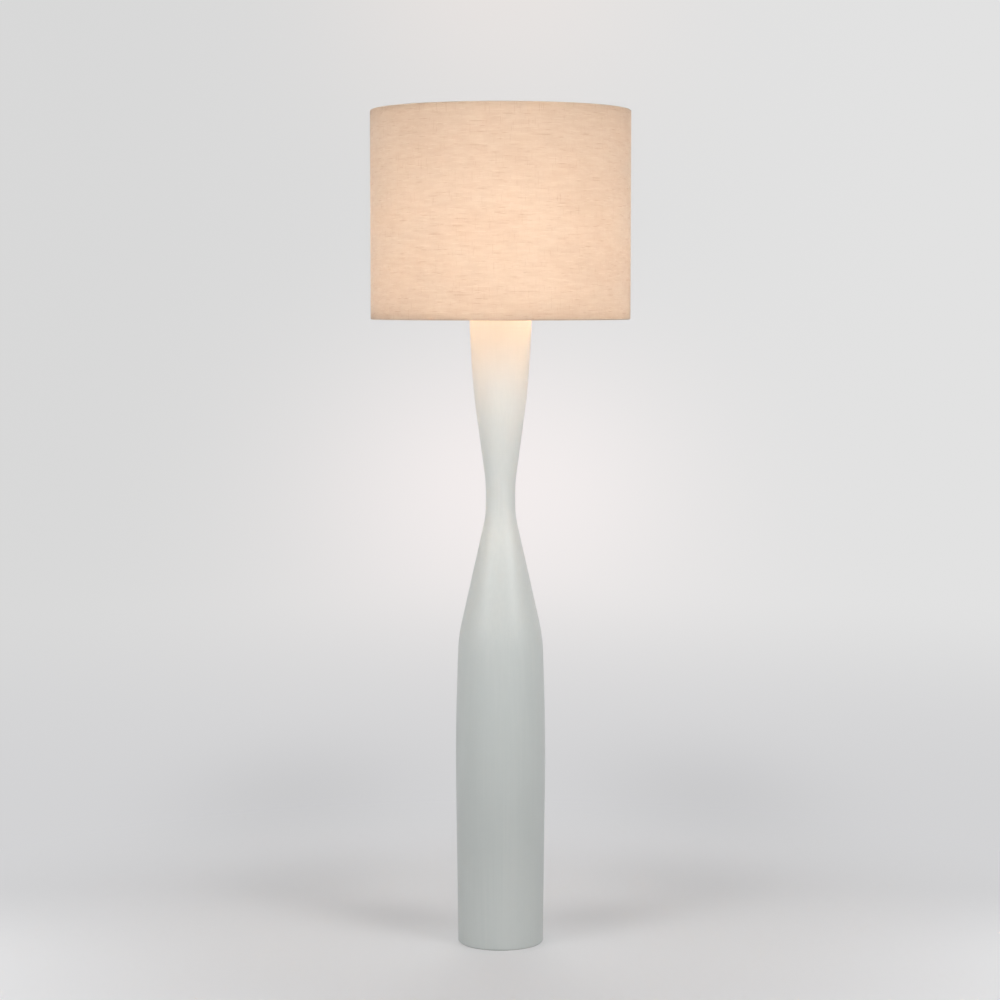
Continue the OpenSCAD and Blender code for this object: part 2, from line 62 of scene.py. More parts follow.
SHADE_R, SHADE_LOW, SHADE_TOP = size_of("shade_cover")
_, WIRE_LOW, WIRE_TOP = size_of("top_wire")
WIRE_R = (WIRE_TOP - WIRE_LOW) / 2
HEM_R = SHADE_TOP - (WIRE_TOP - WIRE_R)       # outside of the cloth around a wire
WIRE_RING = SHADE_R - HEM_R                   # radius of the ring that a wire makes
TOP_WIRE_Z = SHADE_TOP - HEM_R
LOW_WIRE_Z = SHADE_LOW + HEM_R
RING_STEPS = 240                              # steps round each wire ring
LINER_R = size_of("shade_liner")[0]
_, FOOT_Z, MOUTH_Z = size_of("column_shell")
CLOTH = 0.7 * MM                              # thickness of the linen
FILM = 0.4 * MM                               # thickness of the liner
WALL = 4 * MM                                 # thickness of the column's wall
HEM_W = 10 * MM                               # a hem's reach past its wire
LAP = 14 * MM                                 # where the cloth's two ends overlap, at the back
BACK = math.pi / 2                            # the direction of the cable outlet
FOOT_EDGE = 1.5 * MM                          # the column's rounded edges
MOUTH_EDGE = 2 * MM
GRIP = 2 * MM                                 # how far the grommet's flange covers the notch's edge
ARMS = 3                                      # rods of the shade's spider; the first points back
ROD = 3 * MM                                  # thickness of a rod
SLIT = 5 * MM                                 # width of the hem's slit at each rod
FITTER_T = 2 * MM                             # thickness of the ring in the spider's middle
FITTER_RIM = 4 * MM                           # its reach past the ring nut
FITTER_ROOM = 1.3 * MM                        # its room round the lampholder
FITTER_RISE = 14 * MM                         # its height over the lampholder's lower end
HOLDER_R = 19.7 * MM                          # the lampholder's thread
NUT_R = 28 * MM                               # the ring nut on it
NUT_ROOM = 0.3 * MM                           # the nut's room round the thread
NUT_EDGE = 1 * MM
FLUTES = 30                                   # finger flutes round the ring nut
FLUTE_R = 1.2 * MM                            # radius of a flute


# ---------------------------------------------------------------- mesh helpers

def new_object(name, points, faces, uv=None):
    """A mesh object from points and faces, without the points that no face uses. uv holds one
    pair of numbers for each point."""
    used = np.unique(np.concatenate([np.array(face) for face in faces]))
    place = np.zeros(len(points), int)
    place[used] = np.arange(len(used))
    corners = [tuple(points[k]) for k in used]
    mesh = bpy.data.meshes.new(name)
    mesh.from_pydata(corners, [], [tuple(int(place[k]) for k in face) for face in faces])
    mesh.validate()
    if uv is not None:
        layer = mesh.uv_layers.new(name="UVMap")
        for loop in mesh.loops:
            layer.data[loop.index].uv = uv[used[loop.vertex_index]]
    piece = bpy.data.objects.new(name, mesh)
    bpy.context.scene.collection.objects.link(piece)
    return piece


def smooth(piece, sharp_over=50):
    """Shades a piece smooth, with sharp edges where two faces meet at more degrees than that."""
    piece.data.shade_smooth()
    piece.data.set_sharp_from_angle(angle=math.radians(sharp_over))
    return piece


def grid_faces(rows, columns, closed_rows=False, closed_columns=False):
    """The quads of a grid of points that is stored row by row."""
    faces = []
    for i in range(rows if closed_rows else rows - 1):
        for j in range(columns if closed_columns else columns - 1):
            above = (i + 1) % rows * columns
            right = (j + 1) % columns
            faces.append((i * columns + j, i * columns + right, above + right, above + j))
    return faces


def even_angles(steps):
    """The angles of a full turn, in even steps."""
    return np.arange(steps) * FULL_TURN / steps


def turned(radius, height, angles):
    """A grid of points round the Z axis: a row for each level and a column for each angle."""
    radius, height, angles = np.broadcast_arrays(radius, height, angles)
    return np.stack([radius * np.cos(angles), radius * np.sin(angles), height], axis=2)


def turned_line(line, steps):
    """The points of a line of (radius, height) pairs, carried round the Z axis."""
    line = np.array(line, float)
    return turned(line[:, :1], line[:, 1:], even_angles(steps)).reshape(-1, 3)


def two_skins(name, outside, inside, keep, uv=None):
    """A sheet with a thickness: two grids of points, joined by walls along every open edge.
    keep says which cells of the grid are filled. Where it has as many columns as the grid has
    points in a row, its last column joins the last points to the first."""
    rows, columns = outside.shape[:2]
    half = rows * columns
    faces = []
    open_edges = set()
    for i, j in zip(*np.nonzero(keep)):
        right = (j + 1) % columns
        above = (i + 1) * columns
        cell = (i * columns + j, i * columns + right, above + right, above + j)
        faces.append(cell)
        faces.append(tuple(k + half for k in reversed(cell)))
        for a, b in zip(cell, cell[1:] + cell[:1]):
            if (b, a) in open_edges:
                open_edges.remove((b, a))
            else:
                open_edges.add((a, b))
    faces += [(b, a, a + half, b + half) for a, b in sorted(open_edges)]
    points = np.concatenate([outside.reshape(-1, 3), inside.reshape(-1, 3)])
    return new_object(name, points, faces, None if uv is None else np.concatenate([uv, uv]))


def snapped(angles, lines):
    """The same angles, with the one nearest to each line moved onto it."""
    angles = np.array(angles, float)
    for line in lines:
        off = (angles - line + math.pi) % FULL_TURN - math.pi
        angles[np.argmin(abs(off))] = line % FULL_TURN
    return np.sort(angles)


def arc(centre, radius, start, end, steps):
    """Points on an arc, with the angles in degrees."""
    return [(centre[0] + radius * math.cos(math.radians(a)),
             centre[1] + radius * math.sin(math.radians(a)))
            for a in np.linspace(start, end, steps + 1)]


def lengths_along(path):
    """How far along a path each of its points is."""
    path = np.array(path, float)
    return np.concatenate([[0], np.cumsum(np.linalg.norm(np.diff(path, axis=0), axis=1))])


def smooth_curve(path, count):
    """A smooth curve through the points of a path, sampled at even lengths."""
    path = np.array(path, float)
    at = lengths_along(path)
    slope = np.gradient(path, at, axis=0)
    wanted = np.linspace(0, at[-1], count)
    i = np.clip(np.searchsorted(at, wanted, side="right") - 1, 0, len(at) - 2)
    span = (at[i + 1] - at[i])[:, None]
    t = ((wanted - at[i]) / span[:, 0])[:, None]
    # a cubic between the two points beside each sample, with the slopes that the path has there
    return ((2 * t**3 - 3 * t**2 + 1) * path[i] + (t**3 - 2 * t**2 + t) * span * slope[i]
            + (3 * t**2 - 2 * t**3) * path[i + 1] + (t**3 - t**2) * span * slope[i + 1])


# ---------------------------------------------------------------- node tree helpers

class Tree:
    """A node tree, with short calls for its nodes and links."""
    prefix = "ShaderNode"

    def node(self, kind, settings=None, **inputs):
        """Adds a node. An input is named with _ for a space, and is a value or another socket."""
        kind = kind if "Node" in kind else self.prefix + kind
        made = self.tree.nodes.new(kind)
        for key, value in (settings or {}).items():
            setattr(made, key, value)
        for key, value in inputs.items():
            self.put(made.inputs[key.replace("_", " ")], value)
        return made

    def put(self, socket, value):
        """Links another socket to a socket, or sets its value."""
        if isinstance(value, bpy.types.NodeSocket):
            self.tree.links.new(value, socket)
        elif isinstance(value, tuple) and socket.type == "RGBA":
            socket.default_value = (*value, 1)[:4]
        else:
            socket.default_value = value

    def math(self, operation, *values):
        made = self.tree.nodes.new("ShaderNodeMath")
        made.operation = operation
        for socket, value in zip(made.inputs, values):
            self.put(socket, value)
        return made.outputs[0]


class Nodes(Tree):
    """A material's node tree."""

    def __init__(self, name):
        self.material = bpy.data.materials.new(name)
        self.material.use_nodes = True
        self.tree = self.material.node_tree
        self.tree.nodes.clear()
        self.output = self.tree.nodes.new("ShaderNodeOutputMaterial")

    def between(self, value, low, high, to_low=0.0, to_high=1.0, soft=True):
        """Maps value from low..high to to_low..to_high."""
        kind = "SMOOTHSTEP" if soft else "LINEAR"
        made = self.node("MapRange", {"interpolation_type": kind}, Value=value)
        limits = {"From Min": low, "From Max": high, "To Min": to_low, "To Max": to_high}
        for key, number in limits.items():
            made.inputs[key].default_value = number
        return made.outputs[0]

    def blend(self, share, first, second, how="MIX"):
        """Mixes two colours, which are the Mix node's inputs 6 and 7 and its output 2."""
        made = self.node("Mix", {"data_type": "RGBA", "blend_type": how})
        self.put(made.inputs[0], share)
        self.put(made.inputs[6], first)
        self.put(made.inputs[7], second)
        return made.outputs[2]

    def mixed(self, share, first, second):
        """Mixes two shaders."""
        made = self.node("MixShader", Fac=share)
        self.put(made.inputs[1], first.outputs[0])
        self.put(made.inputs[2], second.outputs[0])
        return made

    def place(self, scale=(1, 1, 1), uv=False):
        """The piece's own coordinates in metres, or its UV map, scaled."""
        source = self.node("TexCoord").outputs["UV" if uv else "Object"]
        return self.node("Mapping", Vector=source, Scale=scale).outputs[0]

    def noise(self, where, scale, detail=2.0, roughness=0.5, kind="3D"):
        made = self.node("TexNoise", {"noise_dimensions": kind}, Vector=where, Scale=scale,
                         Detail=detail, Roughness=roughness)
        return made.outputs["Fac"]

    def bump(self, height, strength, distance):
        return self.node("Bump", Height=height, Strength=strength, Distance=distance).outputs[0]

    def surface(self, shader):
        """Ends the tree with this shader and returns the material."""
        self.tree.links.new(shader.outputs[0], self.output.inputs["Surface"])
        return self.material


class Shape(Tree):
    """A Geometry Nodes tree that makes one piece. Its sizes are named inputs."""
    prefix = "GeometryNode"

    def __init__(self, name, **sizes):
        self.name = name
        self.sizes = {key.replace("_", " "): value for key, value in sizes.items()}
        self.tree = bpy.data.node_groups.new(name, "GeometryNodeTree")
        socket = self.tree.interface.new_socket
        for label, value in self.sizes.items():
            kind = "NodeSocketInt" if isinstance(value, int) else "NodeSocketFloat"
            socket(label, in_out="INPUT", socket_type=kind)
        socket("Finish", in_out="INPUT", socket_type="NodeSocketMaterial")
        socket("Geometry", in_out="OUTPUT", socket_type="NodeSocketGeometry")
        self.sockets = self.tree.nodes.new("NodeGroupInput").outputs

    def size(self, label):
        return self.sockets[label]

    def spot(self, x=0.0, y=0.0, z=0.0):
        return self.node("ShaderNodeCombineXYZ", X=x, Y=y, Z=z).outputs[0]

    def middle(self, first, second):
        """The mean of two numbers."""
        return self.math("MULTIPLY", self.math("ADD", first, second), 0.5)

    def hoop(self, radius, height, steps):
        """A circle round the Z axis, as a curve."""
        circle = self.node("CurvePrimitiveCircle", Radius=radius, Resolution=steps).outputs["Curve"]
        return self.node("Transform", Geometry=circle, Translation=self.spot(z=height)).outputs[0]

    def swept(self, path, radius, steps=20):
        """A round wire along a path."""
        profile = self.node("CurvePrimitiveCircle", Radius=radius, Resolution=steps).outputs["Curve"]
        return self.node("CurveToMesh", Curve=path, Profile_Curve=profile, Fill_Caps=True).outputs[0]

    def flat_hoop(self, outer, bore, low, high, edge, steps):
        """A ring of rectangular section with rounded edges, round the Z axis."""
        hoop = self.hoop(self.middle(outer, bore), self.middle(low, high), steps)
        section = self.node("CurvePrimitiveQuadrilateral", Width=self.math("SUBTRACT", outer, bore),
                            Height=self.math("SUBTRACT", high, low)).outputs[0]
        rounded = self.node("FilletCurve", {"mode": "POLY"}, Curve=section, Count=4, Radius=edge)
        return self.node("CurveToMesh", Curve=hoop, Profile_Curve=rounded.outputs[0]).outputs[0]

    def around(self, geometry, count, first=0.0):
        """Copies set evenly round the Z axis, from the direction first."""
        points = self.node("Points", Count=count).outputs[0]
        step = self.math("DIVIDE", FULL_TURN, count)
        turn = self.math("MULTIPLY_ADD", self.node("InputIndex").outputs[0], step, first)
        turn = self.node("FunctionNodeEulerToRotation", Euler=self.spot(z=turn)).outputs[0]
        return self.node("InstanceOnPoints", Points=points, Instance=geometry, Rotation=turn).outputs[0]

    def joined(self, *parts):
        join = self.node("JoinGeometry")
        for part in parts:
            self.put(join.inputs[0], part)
        return join.outputs[0]

    def made(self, geometry, material):
        """Runs the tree and returns what it makes as a plain mesh object."""
        real = self.node("RealizeInstances", Geometry=geometry).outputs[0]
        covered = self.node("SetMaterial", Geometry=real, Material=self.size("Finish")).outputs[0]
        self.put(self.tree.nodes.new("NodeGroupOutput").inputs[0], covered)
        maker = bpy.data.objects.new(self.name, bpy.data.meshes.new(self.name))
        bpy.context.scene.collection.objects.link(maker)
        modifier = maker.modifiers.new("shape", "NODES")
        modifier.node_group = self.tree
        for item in self.tree.interface.items_tree:
            if item.in_out == "INPUT":
                modifier[item.identifier] = self.sizes.get(item.name, material)
        graph = bpy.context.evaluated_depsgraph_get()
        mesh = bpy.data.meshes.new_from_object(maker.evaluated_get(graph))
        mesh.name = self.name
        maker.modifiers.remove(modifier)
        maker.data = mesh
        return maker


def dress(piece, body, node, slot):
    """A finished piece rides with its body and stands for its CAD node."""
    if not piece.data.materials:
        piece.data.materials.append(FINISHES[slot])
    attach(piece, body)
    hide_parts(node)
    return piece


# ---------------------------------------------------------------- finishes

def finish(name, colour, roughness, metal=0.0, grain=None):
    """A solid finish: a colour with faint clouds, a roughness that varies, and a fine grain.
    grain is (bumps in a metre along x, y and z, depth in metres)."""
    n = Nodes(name)
    where = n.place()
    uneven = 0.05
    darker = tuple(c * (1 - uneven) for c in colour)
    lighter = tuple(min(1, c * (1 + uneven)) for c in colour)
    clouds = n.blend(n.between(n.noise(where, 30, 4), 0.3, 0.7), darker, lighter)
    rough = n.between(n.noise(where, 220, 3), 0.25, 0.75, roughness * 0.85, min(1, roughness * 1.15),
                      soft=False)
    shader = n.node("BsdfPrincipled", Base_Color=clouds, Roughness=rough, Metallic=metal)
    if grain:
        bumps, depth = grain
        height = n.noise(n.place(scale=bumps), 1, 3)
        n.put(shader.inputs["Normal"], n.bump(height, 1, depth))
    return n.surface(shader)


def cloth_path():
    """The middle of the cloth, as (radius, height) points: from the end of the lower hem inside,
    round the lower wire, up the outside, round the upper wire and down to the upper hem's end."""
    round_wire = HEM_R - CLOTH / 2
    inside = LINER_R - FILM - CLOTH
    wrap = 215                                # how far the cloth goes round a wire, in degrees
    wrap_steps = 14
    low = arc((WIRE_RING, LOW_WIRE_Z), round_wire, 0, -wrap, wrap_steps)[::-1]
    top = arc((WIRE_RING, TOP_WIRE_Z), round_wire, 0, wrap, wrap_steps)
    wall = [(WIRE_RING + round_wire, z) for z in np.linspace(LOW_WIRE_Z, TOP_WIRE_Z, 62)[1:-1]]
    start = 0.45 * HEM_W                      # where the hem lies flat, past its wire
    low_end = [(inside, z) for z in np.linspace(LOW_WIRE_Z + HEM_W, LOW_WIRE_Z + start, 4)]
    top_end = [(inside, z) for z in np.linspace(TOP_WIRE_Z - start, TOP_WIRE_Z - HEM_W, 4)]
    return np.array(low_end + low + wall + top + top_end)


CLOTH_PATH = cloth_path()
CLOTH_AT = lengths_along(CLOTH_PATH)
LOW_FOLD = CLOTH_AT[np.argmin(CLOTH_PATH[:, 1])]      # how far along the path each fold is
TOP_FOLD = CLOTH_AT[np.argmax(CLOTH_PATH[:, 1])]


def lacquer():
    """Satin white lacquer with a cool cast, laid on in long strokes down the column."""
    n = Nodes("satin lacquer")
    strokes = n.noise(n.place(scale=(300, 300, 3)), 1, 3)
    clouds = n.noise(n.place(scale=(8, 8, 3)), 1, 2)
    mix = n.math("ADD", n.math("MULTIPLY", strokes, 0.35), n.math("MULTIPLY", clouds, 0.65))
    cool = (0.595, 0.628, 0.610)
    pale = (0.625, 0.652, 0.632)
    colour = n.blend(n.between(mix, 0.35, 0.65), cool, pale)
    rough = n.between(strokes, 0.3, 0.7, 0.36, 0.46, soft=False)
    peel = n.noise(n.place(), 350, 2)
    shader = n.node("BsdfPrincipled", Base_Color=colour, Roughness=rough,
                    Normal=n.bump(peel, 0.25, 0.05 * MM))
    return n.surface(shader)


def linen():
    """Natural slub linen over its UV map, which is in metres: across is along the weft, up is
    along the warp. Thick yarns hold back the lamp's light, and thin places let it through."""
    n = Nodes("natural linen")
    pitch = 0.9 * MM                          # from one yarn to the next
    uv = n.node("SeparateXYZ", Vector=n.place(uv=True))
    across, up = uv.outputs[0], uv.outputs[1]

    def slubs(along, over, pitch, length, start, full):
        """Streaks one yarn thick: noise along each yarn, and a new start on each. A streak
        begins where the noise is over start and is whole where it reaches full."""
        count = n.math("DIVIDE", over, pitch)
        new_start = n.math("MULTIPLY", n.math("FLOOR", count), 7.31)
        spot = n.node("CombineXYZ", X=n.math("DIVIDE", along, length), Y=new_start)
        level = n.noise(spot.outputs[0], 1, 2, 0.6, "2D")
        rounded = n.math("SINE", n.math("MULTIPLY", n.math("FRACT", count), math.pi))
        return n.math("MULTIPLY", n.between(level, start, full), rounded)

    fine_weft = slubs(across, up, pitch, 14 * MM, 0.35, 0.85)
    thick_weft = slubs(across, up, 2.4 * pitch, 40 * MM, 0.575, 0.80)
    thin_weft = slubs(across, up, 2.7 * pitch, 36 * MM, 0.58, 0.80)
    fine_warp = slubs(up, across, pitch, 18 * MM, 0.40, 0.85)
    thick_warp = slubs(up, across, 2.2 * pitch, 32 * MM, 0.60, 0.82)
    # uneven yarn: soft bands along the weft, and patches a hand wide
    bands = n.between(n.noise(n.place(scale=(28, 130, 1), uv=True), 1, 2), 0.3, 0.7)
    patches = n.between(n.noise(n.place(scale=(9, 14, 1), uv=True), 1, 2), 0.3, 0.7)
    thick = n.math("MULTIPLY", fine_weft, 0.26)
    for layer, share in ((thick_weft, 0.64), (thin_weft, -0.42), (fine_warp, 0.16),
                         (thick_warp, 0.40), (bands, 0.24), (patches, 0.12)):
        thick = n.math("ADD", thick, n.math("MULTIPLY", layer, share))
    tone = n.math("MINIMUM", n.math("MAXIMUM", thick, 0.0), 1.0)
    # neps: small knots of dark fibre, far apart
    cells = n.node("TexVoronoi", {"feature": "F1"}, Scale=24.0,
                   Vector=n.place(scale=(0.5, 1.4, 1), uv=True))
    draw = n.node("SeparateXYZ", Vector=cells.outputs["Color"]).outputs[0]
    neps = n.math("MULTIPLY", n.math("GREATER_THAN", draw, 0.84),
                  n.between(cells.outputs["Distance"], 0.055, 0.02))
    # painted shade: the cloth is coloured darker where it is folded over a wire
    fold_painted_shades = [n.between(n.math("ABSOLUTE", n.math("SUBTRACT", up, line)), 3 * MM, 0.5 * MM)
             for line in (LOW_FOLD, TOP_FOLD)]
    fold_painted_shade = n.math("MAXIMUM", *fold_painted_shades)
    # the glued hems, from each fold to its end of the path, let more light through
    hem = 4 * MM
    glued = n.math("ADD", n.between(up, LOW_FOLD, LOW_FOLD - hem),
                   n.between(up, TOP_FOLD, TOP_FOLD + hem))
    face = n.blend(tone, (0.99, 0.727, 0.520), (0.84, 0.562, 0.383))
    face = n.blend(n.math("MULTIPLY", neps, 0.30), face, (0.25, 0.16, 0.09))
    # painted shade darkens the face along the folds
    face = n.blend(n.math("MULTIPLY", fold_painted_shade, 0.25), face, (0.42, 0.30, 0.20))
    through = n.blend(tone, (0.735, 0.795, 0.845), (0.54, 0.533, 0.52))
    through = n.blend(n.math("MULTIPLY", neps, 0.35), through, (0.20, 0.11, 0.05))
    through = n.blend(glued, through, (0.95, 0.91, 0.85))
    # the plain weave: weft and warp show in turn
    weft = n.math("SINE", n.math("MULTIPLY", up, FULL_TURN / pitch))
    warp = n.math("SINE", n.math("MULTIPLY", across, FULL_TURN / pitch))
    weave = n.math("MULTIPLY", weft, warp)
    height = n.math("ADD", n.math("MULTIPLY", weave, 0.12), thick)
    bump = n.bump(height, 0.6, 0.25 * MM)
    front = n.node("BsdfPrincipled", Base_Color=face, Roughness=0.85, Normal=bump)
    front.inputs["Specular IOR Level"].default_value = 0.2
    front.inputs["Sheen Weight"].default_value = 0.15
    back = n.node("BsdfTranslucent", Color=through, Normal=bump)
    return n.surface(n.mixed(n.between(glued, 0, 1, 0.36, 0.62), front, back))


def film():
    """The stiff white film inside the linen: it spreads the lamp's light."""
    n = Nodes("shade film")
    mottle = n.noise(n.place(), 120, 3)
    colour = n.blend(n.between(mottle, 0.3, 0.7), (0.87, 0.86, 0.83), (0.93, 0.92, 0.90))
    front = n.node("BsdfPrincipled", Base_Color=colour, Roughness=0.55)
    back = n.node("BsdfTranslucent", Color=colour)
    clear = n.node("BsdfTransparent", Color=(0.95, 0.94, 0.92))
    return n.surface(n.mixed(0.15, n.mixed(0.70, front, back), clear))


def lit(name, colour, strength):
    """A lit surface with faint clouds in its glow."""
    n = Nodes(name)
    cloud = n.between(n.noise(n.place(), 60, 2), 0.3, 0.7, 0, 0.1)
    glow = n.node("Emission", Color=n.blend(cloud, colour, (1, 1, 1)), Strength=strength)
    shell = n.node("BsdfPrincipled", Base_Color=(0.95, 0.94, 0.92), Roughness=0.3)
    both = n.node("AddShader")
    n.put(both.inputs[0], glow.outputs[0])
    n.put(both.inputs[1], shell.outputs[0])
    return n.surface(both)


LAMP_LIGHT = (1.0, 0.80, 0.62)
FINE = ((900, 900, 900), 0.03 * MM)
BRUSHED = ((200, 200, 2500), 0.01 * MM)
FINISHES = {
    "column": lacquer(),
    "linen": linen(),
    "liner": film(),
    "globe": lit("opal globe", LAMP_LIGHT, 2.0),
    "chip": lit("phosphor", (1.0, 0.75, 0.45), 4.0),
    "pad": finish("foam rubber", (0.52, 0.52, 0.50), 0.95, grain=((1500, 1500, 1500), 0.15 * MM)),
    "iron": finish("primed cast iron", (0.06, 0.06, 0.065), 0.75, grain=((400, 400, 400), 0.3 * MM)),
    "zinc": finish("bright zinc", (0.66, 0.66, 0.67), 0.32, metal=1.0, grain=BRUSHED),
    "grommet": finish("soft grey rubber", (0.58, 0.58, 0.56), 0.8, grain=FINE),
    "holder": finish("moulded thermoplastic", (0.80, 0.80, 0.78), 0.33, grain=FINE),
    "insert": finish("unglazed porcelain", (0.82, 0.80, 0.75), 0.7, grain=FINE),
    "brass": finish("stamped brass", (0.80, 0.58, 0.25), 0.28, metal=1.0, grain=BRUSHED),
    "frame": finish("white powder coat", (0.80, 0.80, 0.79), 0.5, grain=((700, 700, 700), 0.06 * MM)),
    "bulb_metal": finish("nickel plate", (0.74, 0.73, 0.71), 0.22, metal=1.0, grain=BRUSHED),
    "black_glass": finish("black glass", (0.015, 0.015, 0.017), 0.08),
    "bulb_body": finish("moulded bulb housing", (0.84, 0.84, 0.83), 0.35, grain=FINE),
    "circuit": finish("green solder mask", (0.03, 0.20, 0.09), 0.4, grain=FINE),
    "board": finish("white coated board", (0.85, 0.85, 0.85), 0.45, grain=FINE),
}
FINISHES["plate"] = FINISHES["column"]
for row in frame["record"]["subparts"]:
    cad = NODES[row["node"]]
    cad.data.materials.clear()
    cad.data.materials.append(FINISHES[row["material_slot"]])


# ---------------------------------------------------------------- the column

def column_outline():
    """The outside of the column as (radius, height) points, from the foot to the mouth. A level
    that only the inside has is left out."""
    mesh = NODES["column_shell"].data
    points = np.array([v.co for v in mesh.vertices])
    tree = BVHTree.FromPolygons([tuple(p) for p in points], [tuple(f.vertices) for f in mesh.polygons])
    radius = np.hypot(points[:, 0], points[:, 1])
    outline = []
    for z in np.unique(points[:, 2].round(6)):
        widest = radius[abs(points[:, 2] - z) < 0.01 * MM].max()
        hit = tree.ray_cast(Vector((-1, 0, z)), Vector((1, 0, 0)))[0]
        if hit is None or abs(abs(hit.x) - widest) < 0.5 * MM:
            outline.append((widest, z))
    return np.array(outline)


def column():
    """The smooth shell, open at the foot and the mouth, with rounded edges there and the
    notch for the grommet at the back."""
    outline = column_outline()
    plain = (outline[:, 1] > FOOT_Z + FOOT_EDGE) & (outline[:, 1] < MOUTH_Z - MOUTH_EDGE)
    curve = smooth_curve(outline[plain], 400)
    grommet_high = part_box("cable_grommet")[1]
    notch_half = grommet_high.x - GRIP
    notch_top = grommet_high.z - GRIP
    quarter = 1 - np.cos(np.linspace(0, math.pi / 2, 7))
    levels = np.concatenate([FOOT_Z + FOOT_EDGE * quarter, [notch_top],
                             np.linspace(FOOT_Z + 2 * FOOT_EDGE, MOUTH_Z - 2 * MOUTH_EDGE, 150),
                             MOUTH_Z - MOUTH_EDGE * quarter])
    levels = np.unique(levels.round(7))
    square = np.interp(levels, curve[:, 1], curve[:, 0])      # before its edges are rounded
    lean = np.gradient(square, levels)
    inner = square - WALL * np.sqrt(1 + lean ** 2)
    outer = square
    for edge, into in ((FOOT_EDGE, levels - FOOT_Z), (MOUTH_EDGE, MOUTH_Z - levels)):
        down = np.clip(edge - into, 0, edge)
        outer = outer - edge + np.sqrt(edge ** 2 - down ** 2)
    half = math.asin(notch_half / outer[0])
    angles = snapped(even_angles(160), (BACK - half, BACK + half))
    middles = angles + np.diff(np.append(angles, angles[0] + FULL_TURN)) / 2
    in_notch = (abs(middles - BACK) < half)[None, :] & (levels[1:] < notch_top + 1e-6)[:, None]
    return two_skins("column", turned(outer[:, None], levels[:, None], angles),
                     turned(inner[:, None], levels[:, None], angles), ~in_notch)


dress(smooth(column(), 40), "lamp", "column_shell", "column")


def foot_disc():
    """The foam pad under the foot. Its lower edge is soft, and its side leans in from there to
    a crisp upper edge."""
    radius, low, high = size_of("foot_pad")
    soft = 0.7 * MM
    crisp = 0.1 * MM
    flat = (0.5 * MM, 20 * MM, 50 * MM)       # rings on its two flat sides
    outline = [(r, low) for r in flat]
    outline += arc((radius - soft, low + soft), soft, -90, 0, 5)
    outline += arc((radius - soft, high - crisp), crisp, 0, 90, 2)
    outline += [(r, high) for r in reversed(flat)]
    steps = 192
    faces = grid_faces(len(outline), steps, closed_rows=True, closed_columns=True)
    return new_object("foot_disc", turned_line(outline, steps), faces)


dress(smooth(foot_disc()), "lamp", "foot_pad", "pad")


# ---------------------------------------------------------------- the shade

def linen_cover():
    """One strip of linen, wrapped once round with its ends lapped at the back. The hem that
    turns in over the lower wire is slit at each rod."""
    slope = np.gradient(CLOTH_PATH, axis=0)
    out = np.stack([slope[:, 1], -slope[:, 0]], axis=1)
    out /= np.linalg.norm(out, axis=1)[:, None]
    lap = LAP / SHADE_R
    slit = SLIT / 2 / WIRE_RING
    rods = FULL_TURN * np.arange(ARMS + 1) / ARMS
    turns = np.concatenate([np.linspace(0, FULL_TURN, RING_STEPS + 1),
                            [FULL_TURN + lap / 2, FULL_TURN + lap],
                            rods[:-1] + slit, rods[1:] - slit, [FULL_TURN + slit]])
    turns = np.unique(turns.round(7))
    climb = 0.06                              # the turn over which the lap rises onto the start
    lift = CLOTH * 1.05 * np.clip((turns - (FULL_TURN - climb)) / climb, 0, 1)
    skins = []
    for side in (0.5, -0.5):
        off = side * CLOTH + lift
        skins.append(turned(CLOTH_PATH[:, :1] + out[:, :1] * off,
                            CLOTH_PATH[:, 1:] + out[:, 1:] * off, BACK + turns))
    middles = (turns[1:] + turns[:-1]) / 2
    at_rod = np.min(abs(middles[:, None] - rods), axis=1) < slit
    radius, height = CLOTH_PATH.T
    lower_half = np.arange(len(CLOTH_PATH)) < len(CLOTH_PATH) / 2
    turned_in = lower_half & (height > LOW_WIRE_Z - WIRE_R) & (radius < WIRE_RING)
    keep = ~((turned_in[1:] & turned_in[:-1])[:, None] & at_rod)
    uv = np.stack(np.broadcast_arrays(turns * SHADE_R, CLOTH_AT[:, None]), axis=2).reshape(-1, 2)
    return two_skins("linen_cover", *skins, keep, uv=uv)


cover = dress(smooth(linen_cover(), 60), "shade", "shade_cover", "linen")


def spider():
    """The lower wire ring, the fitter ring, straight rods between them, and a weld at each
    end of a rod."""
    fitter_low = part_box("holder_body")[0].z + FITTER_RISE
    s = Shape("spider", Wire_ring=WIRE_RING, Wire=WIRE_R, Wire_level=LOW_WIRE_Z, Rod=ROD / 2, Rods=ARMS,
              Fitter=NUT_R + FITTER_RIM, Bore=HOLDER_R + FITTER_ROOM, Fitter_low=fitter_low,
              Fitter_high=fitter_low + FITTER_T)
    wire = s.swept(s.hoop(s.size("Wire ring"), s.size("Wire level"), RING_STEPS), s.size("Wire"))
    fitter = s.flat_hoop(s.size("Fitter"), s.size("Bore"), s.size("Fitter low"), s.size("Fitter high"),
                         edge=0.5 * MM, steps=120)
    weld_in = 2.5 * MM                        # how far a rod reaches over the fitter ring
    start = s.spot(s.math("SUBTRACT", s.size("Fitter"), weld_in), 0,
                   s.middle(s.size("Fitter low"), s.size("Fitter high")))
    end = s.spot(s.size("Wire ring"), 0, s.size("Wire level"))
    line = s.node("CurvePrimitiveLine", Start=start, End=end).outputs[0]
    rod = s.swept(line, s.size("Rod"))
    bead_r = s.math("MULTIPLY", s.size("Rod"), 1.35)
    bead = s.node("MeshIcoSphere", Radius=bead_r, Subdivisions=3).outputs[0]
    near = s.node("Transform", Geometry=bead, Translation=start, Scale=(1.4, 1.2, 0.7)).outputs[0]
    far = s.node("Transform", Geometry=bead, Translation=end, Scale=(1.2, 1.5, 1.2)).outputs[0]
    rods = s.around(s.joined(rod, near, far), s.size("Rods"), BACK)
    return s.made(s.joined(wire, fitter, rods), FINISHES["frame"])


